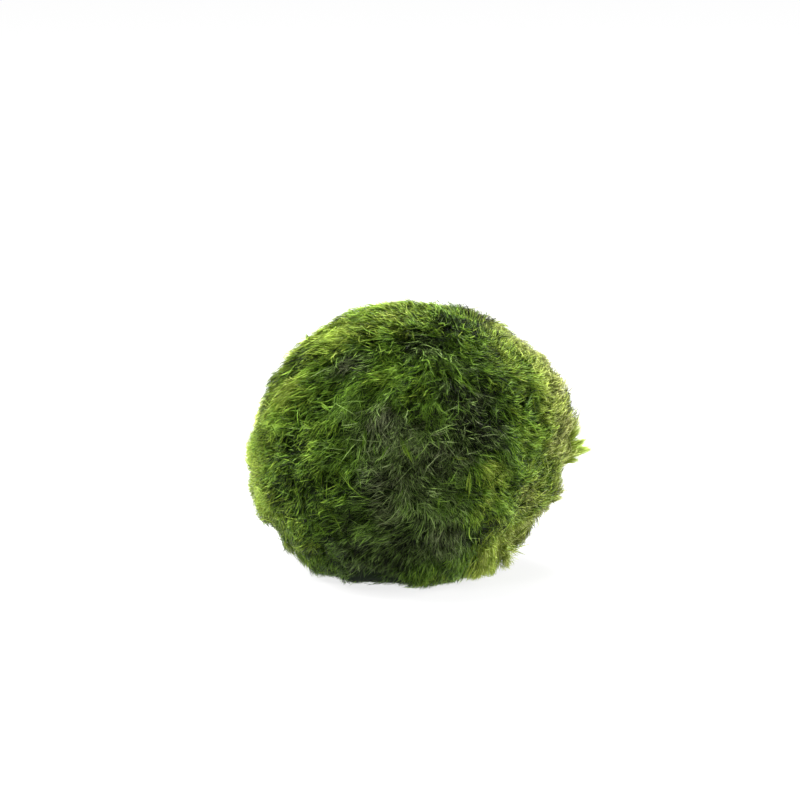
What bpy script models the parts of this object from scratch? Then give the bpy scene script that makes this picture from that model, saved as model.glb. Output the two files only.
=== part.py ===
"""A marimo moss ball about 50 mm across: a round clump of felted green water filaments.

It grew as one piece, so it is one object, moss_ball. The lumpy ball is covered with flat
pointed locks that lie the way the filaments are combed, a tuft of narrow locks stands out
of its right side, and it rests on a flat spot. Metres, +Z up, the front faces -Y.
"""

import math
import random

import bmesh
import bpy
from mathutils import Matrix, Vector, noise
from mathutils.bvhtree import BVHTree

# Driving dimensions of the ball under its locks, in metres
HALF_WIDTH = 0.0231
HALF_DEPTH = 0.0226
CROWN_RISE = 0.0208
UNDERSIDE_DROP = 0.0226
REST_DROP = 0.0190

# How often each edge of the cube that becomes the ball is cut
SKIN_CUTS = 47

# The fine unevenness of the ball: its height in metres and how many bumps cross the radius
RIPPLE_HEIGHT = 0.0004
RIPPLES = 3.2

# Lumps and hollows, each a longitude and latitude in degrees, a rise in metres and a reach
# in degrees. Longitude 0 faces the front, 90 faces the right, and latitude 90 is the crown.
LUMPS = (
    (80, 18, 0.0010, 18),
    (58, 40, -0.0007, 16),
    (48, 60, 0.0008, 14),
    (-35, 64, 0.0006, 18),
    (-98, 43, -0.0024, 20),
    (-92, 15, -0.0024, 15),
    (92, 18, 0.0010, 14),
    (-90, -2, -0.0007, 12),
    (-84, -18, 0.0010, 12),
    (-72, -38, -0.0012, 14),
    (62, -36, -0.0032, 22),
    (82, -14, 0.0008, 12),
    (-52, 28, 0.0006, 12),
    (-34, 31, -0.0012, 8),
    (-4, 47, -0.0010, 9),
    (18, 33, 0.0007, 12),
    (2, 6, -0.0012, 13),
    (-28, -8, 0.0006, 14),
    (30, -12, 0.0008, 14),
    (-4, -36, -0.0010, 10),
    (120, 38, 0.0008, 20),
    (130, -18, -0.0010, 16),
    (165, 12, 0.0009, 18),
    (-165, 50, -0.0008, 15),
    (-140, 8, 0.0010, 16),
    (-120, -28, -0.0009, 15),
    (175, -30, 0.0007, 16),
    (-112, 42, 0.0007, 14),
)

# How the filaments are combed: a place, and the way they lie there in degrees, from the
# right (0) round to the crown (90)
COMBING = (
    (-60, 60, 245),
    (-20, 72, 205),
    (20, 70, 150),
    (40, 62, 85),
    (-72, 35, 260),
    (-45, 40, 245),
    (-15, 48, 240),
    (15, 50, 270),
    (40, 42, 315),
    (65, 45, 5),
    (-75, 10, 200),
    (-50, 18, 230),
    (-28, 28, 265),
    (0, 36, 200),
    (28, 30, 300),
    (55, 14, 15),
    (80, 15, 70),
    (-72, -10, 185),
    (-46, 2, 210),
    (-26, 8, 240),
    (-6, 12, 265),
    (12, 4, 215),
    (34, 4, 310),
    (68, -6, 45),
    (-62, -26, 240),
    (-36, -18, 215),
    (-12, -14, 185),
    (12, -24, 270),
    (34, -20, 300),
    (60, -22, 330),
    (-42, -42, 230),
    (4, -44, 260),
    (36, -42, 290),
    (105, 40, 320),
    (110, 4, 20),
    (105, -32, 300),
    (140, 58, 210),
    (145, 24, 250),
    (150, -16, 215),
    (180, 38, 230),
    (180, 0, 195),
    (175, -38, 260),
    (-150, 56, 150),
    (-145, 16, 205),
    (-140, -24, 235),
    (-105, 42, 290),
    (-102, 2, 190),
    (-105, -34, 220),
)
COMB_REACH = 15

# The locks: how many lie round the whole ball, where they stop above the flat spot, and the
# size of one. They differ in size, and in how far their ridge lies off their middle.
LOCKS_ROUND_BALL = 92
LOWEST_LOCK = -46
LOCK_LENGTH = 0.0150
LOCK_HALF_WIDTH = 0.0031
SIZE_DIFFERENCE = 0.25
RIDGE_OFFSET = 0.45
LOCK_SEED = 7

# One lock from root to tip: its half width as a share of the full half width, and how high
# its ridge and its edges stand over the ball, in metres
LOCK_PROFILE = (
    (0.45, -0.0003, -0.0005),
    (0.85, 0.0009, 0.0001),
    (1.00, 0.0015, 0.0002),
    (0.85, 0.0018, 0.0003),
    (0.50, 0.0019, 0.0005),
    (0.05, 0.0016, 0.0013),
)

# Narrow locks that stand out: the tuft on the right side, two on the crown and three on the
# left. Each has a place, the way it leans, a length and a half width in metres, and how far
# its tip stands out as a share of its length.
WISPS = (
    (83, 7, 70, 0.0048, 0.0009, 0.66),
    (90, 3, 40, 0.0054, 0.0010, 0.78),
    (84, -2, 10, 0.0056, 0.0010, 0.84),
    (91, -5, 345, 0.0048, 0.0009, 0.80),
    (80, 16, 65, 0.0042, 0.0009, 0.50),
    (42, 66, 80, 0.0040, 0.0011, 0.40),
    (58, 57, 40, 0.0034, 0.0009, 0.45),
    (-50, 52, 70, 0.0026, 0.0006, 0.65),
    (-86, 7, 150, 0.0024, 0.0006, 0.55),
    (-88, -1, 175, 0.0024, 0.0006, 0.60),
)

# A wisp: its sides, its tip's width and its sunk foot's length as shares of its own
WISP_SIDES = 6
WISP_TIP = 0.25
WISP_SUNK = 0.18

# A height over the ball that no lock reaches, the times that the fine surface is softened,
# and the share of its faces that its forms need
CLEAR_OF_LOCKS = 0.004
SOFTENING_STEPS = 2
FACES_KEPT = 0.32

# The side of the block that cuts the flat spot
CUT_SIZE = 0.08

MOSS_GREEN = (0.075, 0.165, 0.018, 1.0)
MOSS_ROUGHNESS = 0.75

MIDDLE = Vector((0.0, 0.0, REST_DROP))


def clear_scene():
    for old in list(bpy.data.objects):
        bpy.data.objects.remove(old, do_unlink=True)


def direction_at(longitude, latitude):
    """The unit vector from the ball's middle to a place on it."""
    around = math.radians(longitude)
    up = math.radians(latitude)
    return Vector(
        (math.sin(around) * math.cos(up), -math.cos(around) * math.cos(up), math.sin(up))
    )


def lean_at(longitude, latitude, lay):
    """The unit vector along the ball at a place, turned by lay from the right to the crown."""
    out = direction_at(longitude, latitude)
    right = Vector((-out.y, out.x, 0.0)).normalized()
    crownward = out.cross(right)
    turn = math.radians(lay)
    return right * math.cos(turn) + crownward * math.sin(turn)


def lay_of(direction):
    """The way the filaments lie in this direction: the strokes of COMBING, blended."""
    total = Vector()
    for longitude, latitude, lay in COMBING:
        away = math.degrees(direction.angle(direction_at(longitude, latitude)))
        weight = math.exp(-((away / COMB_REACH) ** 2))
        total += lean_at(longitude, latitude, lay) * weight
    return (total - direction * total.dot(direction)).normalized()


def skin_point(direction, height=0.0):
    """The point of the lumpy ball in this direction, raised by height."""
    rise = CROWN_RISE if direction.z > 0 else UNDERSIDE_DROP
    across = Vector((direction.x / HALF_WIDTH, direction.y / HALF_DEPTH, direction.z / rise))
    radius = 1 / across.length
    for longitude, latitude, swell, reach in LUMPS:
        away = math.degrees(direction.angle(direction_at(longitude, latitude)))
        radius += swell * math.exp(-((away / reach) ** 2))
    radius += RIPPLE_HEIGHT * noise.noise(direction * RIPPLES)
    return MIDDLE + direction * (radius + height)


def moss_material():
    material = bpy.data.materials.new("moss")
    material.use_nodes = True
    shader = material.node_tree.nodes["Principled BSDF"]
    shader.inputs["Base Color"].default_value = MOSS_GREEN
    shader.inputs["Roughness"].default_value = MOSS_ROUGHNESS
    shader.inputs["Metallic"].default_value = 0.0
    return material


def object_of(name, body, collection):
    """The finished bmesh as an object of the collection."""
    mesh = bpy.data.meshes.new(name)
    body.to_mesh(mesh)
    body.free()
    made = bpy.data.objects.new(name, mesh)
    collection.objects.link(made)
    return made


def lock_line(direction, length, steps):
    """Directions along a lock, from its root, which follow the combing."""
    line = [direction]
    stride = length / (steps - 1) / HALF_WIDTH
    for _ in range(steps - 1):
        line.append((line[-1] + lay_of(line[-1]) * stride).normalized())
    return line


def add_lock(body, root, size, skew):
    """The top of one flat pointed lock: a strip with a ridge, laid over the ball."""
    steps = len(LOCK_PROFILE)
    line = lock_line(root, LOCK_LENGTH * size, steps)
    strip = bmesh.ops.create_grid(body, x_segments=steps - 1, y_segments=2, size=1.0)["verts"]
    for point in strip:
        step = round((point.co.x + 1) / 2 * (steps - 1))
        across = round(point.co.y)
        width_share, ridge_height, edge_height = LOCK_PROFILE[step]
        half_width = LOCK_HALF_WIDTH * size * width_share
        along = line[min(step + 1, steps - 1)] - line[max(step - 1, 0)]
        aside = line[step].cross(along).normalized()
        offset = across if across else skew
        direction = (line[step] + aside * offset * half_width / HALF_WIDTH).normalized()
        point.co = skin_point(direction, edge_height if across else ridge_height)


def locks_tree():
    """The flat locks, spread evenly by the golden angle, ready for rays to find their tops."""
    chance = random.Random(LOCK_SEED)
    golden_angle = math.degrees(math.pi * (3 - math.sqrt(5)))
    body = bmesh.new()
    for number in range(LOCKS_ROUND_BALL):
        latitude = math.degrees(math.asin(1 - 2 * (number + 0.5) / LOCKS_ROUND_BALL))
        size = 1 + chance.uniform(-SIZE_DIFFERENCE, SIZE_DIFFERENCE)
        skew = chance.uniform(-RIDGE_OFFSET, RIDGE_OFFSET)
        if latitude > LOWEST_LOCK:
            add_lock(body, direction_at(number * golden_angle, latitude), size, skew)
    tree = BVHTree.FromBMesh(body)
    body.free()
    return tree


def add_wisp(body, longitude, latitude, lay, length, half_width, stand):
    """One narrow lock that stands out of the ball: a cone from its sunk foot to its tip."""
    root = direction_at(longitude, latitude)
    along = lean_at(longitude, latitude, lay) * math.sqrt(1 - stand * stand)
    lean = (root * stand + along).normalized()
    sunk_length = length * (1 + WISP_SUNK)
    middle = skin_point(root) + lean * (length - sunk_length / 2)
    bmesh.ops.create_cone(
        body,
        cap_ends=True,
        segments=WISP_SIDES,
        radius1=half_width,
        radius2=half_width * WISP_TIP,
        depth=sunk_length,
        matrix=Matrix.Translation(middle) @ lean.to_track_quat("Z", "Y").to_matrix().to_4x4(),
    )


def wisps_object(collection):
    body = bmesh.new()
    for wisp in WISPS:
        add_wisp(body, *wisp)
    return object_of("wisps", body, collection)


def ball_object(collection):
    """The ball with its locks: a finely cut cube whose points move out to the locks, or else
    to the skin between them."""
    locks = locks_tree()
    body = bmesh.new()
    bmesh.ops.create_cube(body, size=1.0)
    bmesh.ops.subdivide_edges(body, edges=body.edges, cuts=SKIN_CUTS, use_grid_fill=True)
    for point in body.verts:
        direction = point.co.normalized()
        skin = skin_point(direction)
        lock, _, _, depth = locks.ray_cast(skin + direction * CLEAR_OF_LOCKS, -direction)
        point.co = lock if lock and depth < CLEAR_OF_LOCKS else skin
    ball = object_of("moss_ball", body, collection)
    soften = ball.modifiers.new("soften", "SMOOTH")
    soften.iterations = SOFTENING_STEPS
    thin_out = ball.modifiers.new("thin_out", "DECIMATE")
    thin_out.ratio = FACES_KEPT
    return ball


def rest_cut(collection):
    """The block under the ball whose top is the surface that it rests on."""
    body = bmesh.new()
    bmesh.ops.create_cube(body, size=CUT_SIZE)
    bmesh.ops.translate(body, verts=body.verts, vec=(0.0, 0.0, -CUT_SIZE / 2))
    return object_of("rest_cut", body, collection)


def combine(target, other, operation):
    """Joins the other object's shape to the target, or cuts it away."""
    other.hide_render = True
    other.display_type = "WIRE"
    other.parent = target
    joined = target.modifiers.new(other.name, "BOOLEAN")
    joined.operation = operation
    joined.solver = "EXACT"
    joined.object = other


def centre_on_origin(target):
    """Moves the object so that the middle of its outline stands over the origin."""
    bpy.context.view_layer.update()
    graph = bpy.context.evaluated_depsgraph_get()
    finished = target.evaluated_get(graph)
    corners = [Vector(corner) for corner in finished.bound_box]
    for axis in (0, 1):
        reach = [corner[axis] for corner in corners]
        target.location[axis] = -(min(reach) + max(reach)) / 2


def build():
    clear_scene()
    part = bpy.data.collections.new("marimo_moss_ball")
    helpers = bpy.data.collections.new("cutters")
    bpy.context.scene.collection.children.link(part)
    bpy.context.scene.collection.children.link(helpers)
    ball = ball_object(part)
    combine(ball, wisps_object(helpers), "UNION")
    combine(ball, rest_cut(helpers), "DIFFERENCE")
    ball.data.materials.append(moss_material())
    ball.data.shade_smooth()
    centre_on_origin(ball)


build()
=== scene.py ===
"""The looks of a marimo moss ball: its felt, its combed filaments and its standing tufts.

Metres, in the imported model's frame: +Z up, and the front faces -Y.
"""

import math

import bpy
import numpy as np
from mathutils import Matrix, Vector, noise
from mathutils.bvhtree import BVHTree


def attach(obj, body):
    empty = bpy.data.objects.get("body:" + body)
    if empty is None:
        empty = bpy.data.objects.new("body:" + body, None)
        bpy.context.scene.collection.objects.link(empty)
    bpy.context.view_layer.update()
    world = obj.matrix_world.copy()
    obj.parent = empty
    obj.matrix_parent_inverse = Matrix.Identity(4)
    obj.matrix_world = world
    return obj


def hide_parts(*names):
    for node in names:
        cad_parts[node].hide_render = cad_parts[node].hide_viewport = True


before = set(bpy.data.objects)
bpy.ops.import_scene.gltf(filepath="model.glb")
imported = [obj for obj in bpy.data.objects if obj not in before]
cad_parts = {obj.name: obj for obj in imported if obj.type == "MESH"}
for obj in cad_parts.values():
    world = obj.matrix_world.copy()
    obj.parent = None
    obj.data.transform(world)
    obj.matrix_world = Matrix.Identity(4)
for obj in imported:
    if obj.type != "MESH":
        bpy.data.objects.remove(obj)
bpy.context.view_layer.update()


# The studio. The ball stands on a pale floor, with white at its back and sides and a darker
# room in front. Soft panels light it from above, from behind and from both sides, so that its
# front is the darkest part. The camera has a long lens and looks down by ten degrees.
BALL_CENTRE = Vector((-0.0009, 0.0, 0.0189))
CAMERA_ELEVATION = math.radians(10)
CAMERA_DISTANCE = 0.52
FRAME_WIDTH = 0.1205
CENTRE_RIGHT_OF_FRAME = 0.0022
CENTRE_BELOW_FRAME = 0.0069
FLOOR_SIZE = 8.0
FLOOR_DROP = 0.00005
FLOOR_GREY = 0.20
FLOOR_GLOW = 0.80
WORLD_LIGHT = 1.15
FRONT_LIGHT = 0.30
# Where the darker room ends and where all is white, from the front (0) to the back (1)
ROOM_END = 0.12
WHITE_START = 0.60
# Each panel's place round the ball's centre, its side and its power in watts
PANELS = {
    "panel_above": ((0.0, 0.10, 0.60), 0.25, 6.0),
    "panel_left": ((-0.50, 0.14, 0.38), 0.30, 6.4),
    "panel_right": ((0.60, 0.18, 0.14), 0.30, 4.8),
    "panel_front": ((-0.15, -0.40, 0.45), 0.10, 1.2),
}


class Finish:
    """A socket of a material's nodes. Arithmetic on it adds the Math nodes."""

    def __init__(self, tree, socket=None):
        self.tree = tree
        self.socket = socket

    def node(self, kind, settings, sockets, output=0):
        """A new node: its settings are set first, then the values or links of its sockets."""
        made = self.tree.nodes.new(kind)
        for name, value in settings.items():
            if name == "stops":
                for number, (position, colour) in enumerate(value):
                    if number > 1:
                        made.color_ramp.elements.new(position)
                    made.color_ramp.elements[number].position = position
                    made.color_ramp.elements[number].color = (*colour, 1.0)
            else:
                setattr(made, name, value)
        for name, value in sockets.items():
            if isinstance(value, Finish):
                self.tree.links.new(value.socket, made.inputs[name])
            else:
                made.inputs[name].default_value = value
        return Finish(self.tree, made.outputs[output])

    def math(self, operation, first, second):
        return self.node("ShaderNodeMath", {"operation": operation}, {0: first, 1: second})

    def __add__(self, other):
        return self.math("ADD", self, other)

    __radd__ = __add__

    def __mul__(self, other):
        return self.math("MULTIPLY", self, other)

    __rmul__ = __mul__

    def __sub__(self, other):
        return self.math("SUBTRACT", self, other)

    def __rsub__(self, other):
        return self.math("SUBTRACT", other, self)

    def __pow__(self, other):
        return self.math("POWER", self, other)


def new_material(name, roughness, gloss):
    """A material with its Principled shader, and a Finish to add nodes to it."""
    material = bpy.data.materials.new(name)
    material.use_nodes = True
    shader = material.node_tree.nodes["Principled BSDF"]
    shader.inputs["Roughness"].default_value = roughness
    shader.inputs["Specular IOR Level"].default_value = gloss
    return material, shader, Finish(material.node_tree)


def feed(shader, name, finish):
    """Links a finish to a socket of a shader."""
    finish.tree.links.new(finish.socket, shader.inputs[name])


floor_material, floor_shader, _ = new_material("studio_floor", roughness=0.9, gloss=0.0)
floor_shader.inputs["Base Color"].default_value = (FLOOR_GREY, FLOOR_GREY, FLOOR_GREY, 1.0)
floor_shader.inputs["Emission Color"].default_value = (1.0, 1.0, 1.0, 1.0)
floor_shader.inputs["Emission Strength"].default_value = FLOOR_GLOW
bpy.ops.object.select_all(action="DESELECT")
bpy.ops.mesh.primitive_plane_add(size=FLOOR_SIZE, location=(0.0, 0.0, -FLOOR_DROP))
floor = bpy.context.object
floor.name = "studio_floor"
floor.data.materials.append(floor_material)

world = bpy.data.worlds.new("studio_white")
world.use_nodes = True
world_finish = Finish(world.node_tree)
sky_direction = world_finish.node("ShaderNodeTexCoord", {}, {}, "Generated")
sky_backward = world_finish.node("ShaderNodeSeparateXYZ", {}, {"Vector": sky_direction}, "Y")
sky_colour = world_finish.node(
    "ShaderNodeValToRGB",
    {"stops": ((ROOM_END, (FRONT_LIGHT,) * 3), (WHITE_START, (1.0, 1.0, 1.0)))},
    {"Fac": sky_backward * 0.5 + 0.5},
)
world_background = world.node_tree.nodes["Background"]
world.node_tree.links.new(sky_colour.socket, world_background.inputs["Color"])
world_background.inputs["Strength"].default_value = WORLD_LIGHT
bpy.context.scene.world = world
bpy.context.scene.view_settings.view_transform = "Standard"

for panel_name, (place, side, power) in PANELS.items():
    toward = Vector(place)
    bpy.ops.object.light_add(type="AREA", location=BALL_CENTRE + toward)
    panel = bpy.context.object
    panel.name = panel_name
    panel.rotation_euler = toward.to_track_quat("Z", "Y").to_euler()
    panel.data.size = side
    panel.data.energy = power

camera_back = Vector((0.0, -math.cos(CAMERA_ELEVATION), math.sin(CAMERA_ELEVATION)))
camera_up = Vector((0.0, math.sin(CAMERA_ELEVATION), math.cos(CAMERA_ELEVATION)))
frame_middle = BALL_CENTRE - Vector((CENTRE_RIGHT_OF_FRAME, 0.0, 0.0))
frame_middle += camera_up * CENTRE_BELOW_FRAME
bpy.ops.object.camera_add(
    location=frame_middle + camera_back * CAMERA_DISTANCE,
    rotation=(math.pi / 2 - CAMERA_ELEVATION, 0.0, 0.0),
)
camera = bpy.context.object
camera.name = "photo_camera"
camera.data.lens = camera.data.sensor_width * CAMERA_DISTANCE / FRAME_WIDTH
camera.data.clip_start = 0.01
camera.data.clip_end = 50.0
bpy.context.scene.camera = camera


# The felt. Under the filaments that show, the ball is one dense spongy mat of the same
# filaments. It is painted nearly black, a painted shade for how little light gets in between the
# tufts, and darker still towards the floor, a painted contact shadow. It is pressed flat where
# the ball rests.
FELT_SUBDIVISIONS = 6
FELT_SPREAD = 3
FELT_DEPTH = 0.0017
FELT_UNDERSIDE = 0.0002
# Up to this height the felt is pressed together, and at the floor to this share of its depth
PRESSED_HEIGHT = 0.004
PRESSED_SHARE = 0.3
# The felt's colours, nearly black: painted shade
FELT_DARK = (0.006, 0.012, 0.004)
FELT_LIGHT = (0.030, 0.058, 0.012)
# How much darker the felt is painted at the floor, a painted contact shadow, and how steeply
# that fades with height
FOOT_PAINTED_SHADOW = 0.35
FOOT_SHADOW_STEEPNESS = 250.0
CENTRE = np.array(BALL_CENTRE)
# How the ball is measured: the step between the places in degrees, and how far outside it the
# measuring rays start in metres
GRID_STEP = 1.5
OUTSIDE = 0.05
# How the measures are read: never quite at the last place, and, evened out, from this many
# places around and the middle one, which counts for two of them
EDGE = 0.001
AROUND = 8
MIDDLE_WEIGHT = 2
POLE_NUDGE = (1e-9, 0.0, 0.0)


def unit(vectors):
    """The vectors, each made one long."""
    return vectors / np.linalg.norm(vectors, axis=-1, keepdims=True)


def directions_at(longitudes, latitudes):
    """Unit vectors from the ball's centre. Longitude 0 faces the front, 90 faces the right,
    and latitude 90 is the crown. Degrees."""
    around, up = np.radians(longitudes), np.radians(latitudes)
    level = np.cos(up)
    return np.stack((np.sin(around) * level, -np.cos(around) * level, np.sin(up)), -1)


def reach_table():
    """How far the ball reaches from its centre, by latitude and longitude."""
    tree = BVHTree.FromObject(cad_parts["moss_ball"], bpy.context.evaluated_depsgraph_get())
    longitudes = np.arange(-180, 180 + GRID_STEP, GRID_STEP)
    latitudes = np.arange(-90, 90 + GRID_STEP, GRID_STEP)
    table = np.empty((len(latitudes), len(longitudes)))
    for row, latitude in enumerate(latitudes):
        for column, longitude in enumerate(longitudes):
            out = Vector(directions_at(longitude, latitude))
            hit = tree.ray_cast(BALL_CENTRE + out * OUTSIDE, -out)[0]
            table[row, column] = (hit - BALL_CENTRE).length
    return table


REACH = reach_table()


def reach_at(directions):
    """How far the ball reaches in these directions, read between the table's places."""
    longitude = np.degrees(np.arctan2(directions[..., 0], -directions[..., 1]))
    latitude = np.degrees(np.arcsin(np.clip(directions[..., 2], -1, 1)))
    column = np.clip((longitude + 180) / GRID_STEP, 0, REACH.shape[1] - 1 - EDGE)
    row = np.clip((latitude + 90) / GRID_STEP, 0, REACH.shape[0] - 1 - EDGE)
    left, low = column.astype(int), row.astype(int)
    across, up = column - left, row - low
    lower = REACH[low, left] * (1 - across) + REACH[low, left + 1] * across
    upper = REACH[low + 1, left] * (1 - across) + REACH[low + 1, left + 1] * across
    return lower * (1 - up) + upper * up


def frames_at(directions):
    """The unit vectors to the right and to the crown at these places. The nudge keeps them
    defined at the crown itself."""
    right = unit(np.cross((0.0, 0.0, 1.0), directions + POLE_NUDGE))
    return right, np.cross(directions, right)


def soft_reach_at(directions, spread):
    """The reach round these directions, evened out over a spread in degrees."""
    right, crownward = frames_at(directions)
    total = reach_at(directions) * MIDDLE_WEIGHT
    for turn in np.radians(np.arange(AROUND) * 360 / AROUND):
        aside = right * np.cos(turn) + crownward * np.sin(turn)
        total += reach_at(unit(directions + aside * np.tan(np.radians(spread))))
    return total / (AROUND + MIDDLE_WEIGHT)


bpy.ops.object.select_all(action="DESELECT")
bpy.ops.mesh.primitive_ico_sphere_add(subdivisions=FELT_SUBDIVISIONS, radius=1.0)
felt = bpy.context.object
felt.name = "felt"
felt_points = np.empty((len(felt.data.vertices), 3))
felt.data.vertices.foreach_get("co", felt_points.ravel())
felt_out = unit(felt_points)
felt_reach = soft_reach_at(felt_out, FELT_SPREAD)
surface_height = CENTRE[2] + felt_out[:, 2] * felt_reach
sink = FELT_DEPTH * np.clip(surface_height / PRESSED_HEIGHT, PRESSED_SHARE, 1)
felt_points = CENTRE + felt_out * (felt_reach - sink)[:, None]
felt_points[:, 2] = np.maximum(felt_points[:, 2], FELT_UNDERSIDE)
felt.data.vertices.foreach_set("co", felt_points.ravel())
felt.data.update()
bpy.ops.object.shade_smooth()

felt_material, felt_shader, felt_finish = new_material("dark_felt", roughness=0.8, gloss=0.1)
object_place = felt_finish.node("ShaderNodeTexCoord", {}, {}, "Object")
mat_grain = felt_finish.node(
    "ShaderNodeTexNoise", {}, {"Vector": object_place, "Scale": 900.0, "Detail": 5.0}
)
felt_height = felt_finish.node("ShaderNodeSeparateXYZ", {}, {"Vector": object_place}, "Z")
# The felt is painted darker towards the floor: a painted contact shadow where the ball rests
clear_of_foot_shadow = felt_finish.node(
    "ShaderNodeMath",
    {"operation": "MULTIPLY", "use_clamp": True},
    {0: felt_height, 1: FOOT_SHADOW_STEEPNESS},
)
feed(
    felt_shader,
    "Base Color",
    felt_finish.node(
        "ShaderNodeValToRGB",
        {"stops": ((0.35, FELT_DARK), (0.7, FELT_LIGHT))},
        {"Fac": mat_grain + clear_of_foot_shadow * FOOT_PAINTED_SHADOW - FOOT_PAINTED_SHADOW},
    ),
)
feed(
    felt_shader,
    "Normal",
    felt_finish.node(
        "ShaderNodeBump", {}, {"Height": mat_grain, "Strength": 0.8, "Distance": 0.0003}
    ),
)
felt.data.materials.append(felt_material)
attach(felt, "root")
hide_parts("moss_ball")


# The filaments. They are green threads 0.1 to 0.2 mm thick and a few millimetres long that
# grow out of the felt. Water has combed them into tufts whose threads meet at their tips.
# How they lie, how long they are and how green they are differs from place to place.

# Strokes of the comb: a place, and the way the filaments lie there, from the right (0) round
# to the crown (90). Degrees.
STROKES = (
    (-73, 43, 262), (-57, 60, 243), (-21, 71, 204), (18, 68, 147), (56, 71, 80), (40, 60, 285),
    (55, 56, 27), (62, 44, 3), (74, 29, 1), (-72, 26, 262), (-51, 37, 244),
    (-34, 46, 241), (-18, 50, 241), (1, 50, 263), (18, 50, 272), (32, 48, 291),
    (42, 40, 317), (58, 29, 288), (-72, 11, 225), (-53, 19, 229), (-38, 25, 249),
    (-27, 29, 268), (-15, 33, 220), (0, 37, 198), (10, 30, 252), (28, 35, 292),
    (28, 24, 313), (42, 24, 285), (53, 14, 14), (78, 15, 70), (-75, -5, 180),
    (-49, 5, 204), (-34, 9, 237), (-23, 15, 256), (-10, 15, 247), (0, 10, 295),
    (11, 6, 199), (24, 15, 322), (36, 8, 293), (48, 2, 358), (68, -5, 49),
    (-76, -18, 202), (-46, -8, 236), (-30, -4, 215), (-15, -5, 189), (0, -6, 350),
    (14, -5, 331), (31, -7, 341), (51, -11, 31), (-62, -28, 255), (-40, -26, 215),
    (-23, -20, 177), (-7, -17, 182), (6, -26, 266), (18, -26, 273), (30, -22, 288),
    (45, -24, 329), (-54, -40, 244), (-33, -43, 217), (-12, -45, 230), (6, -44, 256),
    (23, -44, 272), (42, -40, 290),
    (105, 40, 320), (110, 4, 20), (105, -32, 300), (125, 22, 285), (132, -14, 250),
    (140, 58, 210), (145, 24, 250), (150, -16, 215), (162, 8, 235), (180, 38, 230),
    (180, 0, 195), (175, -38, 260), (-162, 20, 215), (-165, -18, 240), (-150, 56, 280),
    (-118, 68, 255),
    (-145, 16, 205), (-140, -24, 235), (-122, 26, 255), (-120, -12, 215), (-105, 42, 252),
    (-102, 2, 190), (-105, -34, 220),
)
# How far a stroke is felt in degrees: near it, and, much weaker, far from it
COMB_REACH = 10.0
FAR_REACH = 30.0
FAR_WEIGHT = 0.02

# The tints: a place, its reach in degrees, its shade from black (0) to bright (1), and its hue
# from a grey green (0), a painted wet sheen, through fresh and yellow green to khaki (1). The
# shade holds painted light as well as the moss's own tone: the rims and the crown are painted
# bright, where the panels light them from behind and the sides, and the front is painted darker.
PAINTED_LIGHT_AND_TINTS = (
    (-11, 69, 9, 0.44, 0.61), (-36, 59, 6, 0.47, 0.56), (-55, 50, 8, 1.04, 0.66),
    (-68, 37, 7, 0.19, 0.54), (-33, 40, 5, 0.39, 0.02), (-17, 52, 6, 0.53, 0.42),
    (5, 51, 6, 0.32, 0.10), (42, 65, 6, 0.04, 0.36), (49, 53, 6, 0.21, 0.48),
    (67, 45, 7, 0.54, 0.58), (83, 27, 7, 0.70, 0.96), (45, 25, 8, 0.26, 0.56),
    (28, 38, 10, 0.45, 0.35), (27, 22, 12, 0.03, 0.10), (50, 14, 6, 0.51, 0.48),
    (71, 9, 8, 0.79, 0.96), (-14, 21, 6, 0.57, 0.26), (-38, 28, 5, 0.46, 0.34),
    (-25, 22, 5, 0.80, 0.33), (-58, 20, 9, 0.83, 0.61), (-71, -2, 9, 0.88, 0.56),
    (-48, 11, 7, 0.42, 0.34), (-34, 10, 7, 0.52, 0.43), (-18, 10, 7, 0.49, 0.06),
    (-2, 10, 4, 1.06, 0.03), (11, 7, 10, 0.27, 0.03), (-9, -6, 12, 0.61, 0.03),
    (-32, -7, 10, 0.26, 0.37), (-68, -17, 8, 1.02, 0.62), (-50, -27, 10, 0.50, 0.50),
    (-18, -33, 14, 0.24, 0.10), (12, -11, 8, 0.65, 0.20), (31, -12, 11, 0.54, 0.50),
    (56, -15, 8, 0.53, 0.84), (39, -30, 9, 0.42, 0.66), (13, -30, 10, 0.52, 0.04),
    (60, -46, 9, 0.97, 0.70), (110, 30, 14, 0.76, 0.84), (105, -20, 12, 0.60, 0.85),
    (140, 10, 16, 0.45, 0.35), (150, 50, 14, 0.62, 0.55), (170, -20, 14, 0.36, 0.15),
    (-170, 22, 16, 0.52, 0.45), (-150, -10, 14, 0.42, 0.35), (-130, 28, 14, 0.62, 0.52),
    (-110, -25, 14, 0.58, 0.48), (-105, 5, 12, 1.10, 0.82), (92, 2, 12, 0.90, 0.95),
    (94, 26, 10, 0.58, 0.96), (100, 44, 10, 0.72, 0.92), (112, 64, 8, 0.42, 0.92),
    (180, 82, 12, 0.62, 0.65), (-118, 69, 12, 1.08, 0.72), (-101, 47, 12, 1.06, 0.72),
    (-95, 26, 10, 0.97, 0.70), (-90, 2, 11, 1.14, 0.82), (-87, -20, 9, 0.72, 0.61),
    (-83, -38, 8, 0.82, 0.57), (80, -44, 10, 0.95, 0.92), (86, -22, 9, 0.87, 0.95),
    (66, -66, 9, 0.92, 0.77), (-50, -72, 14, 0.31, 0.16), (-122, 55, 11, 1.10, 0.73),
    (-150, 70, 12, 0.80, 0.66), (135, 70, 10, 0.48, 0.66), (81, 61, 6, 0.07, 0.56),
    (72, 26, 6, 0.79, 0.80), (-72, 13, 5, 0.55, 0.60), (-62, -9, 6, 0.06, 0.40),
    (52, -56, 6, 1.00, 0.60), (25, -66, 9, 0.64, 0.50),
)
USUAL_TINT = (0.50, 0.42)
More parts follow.
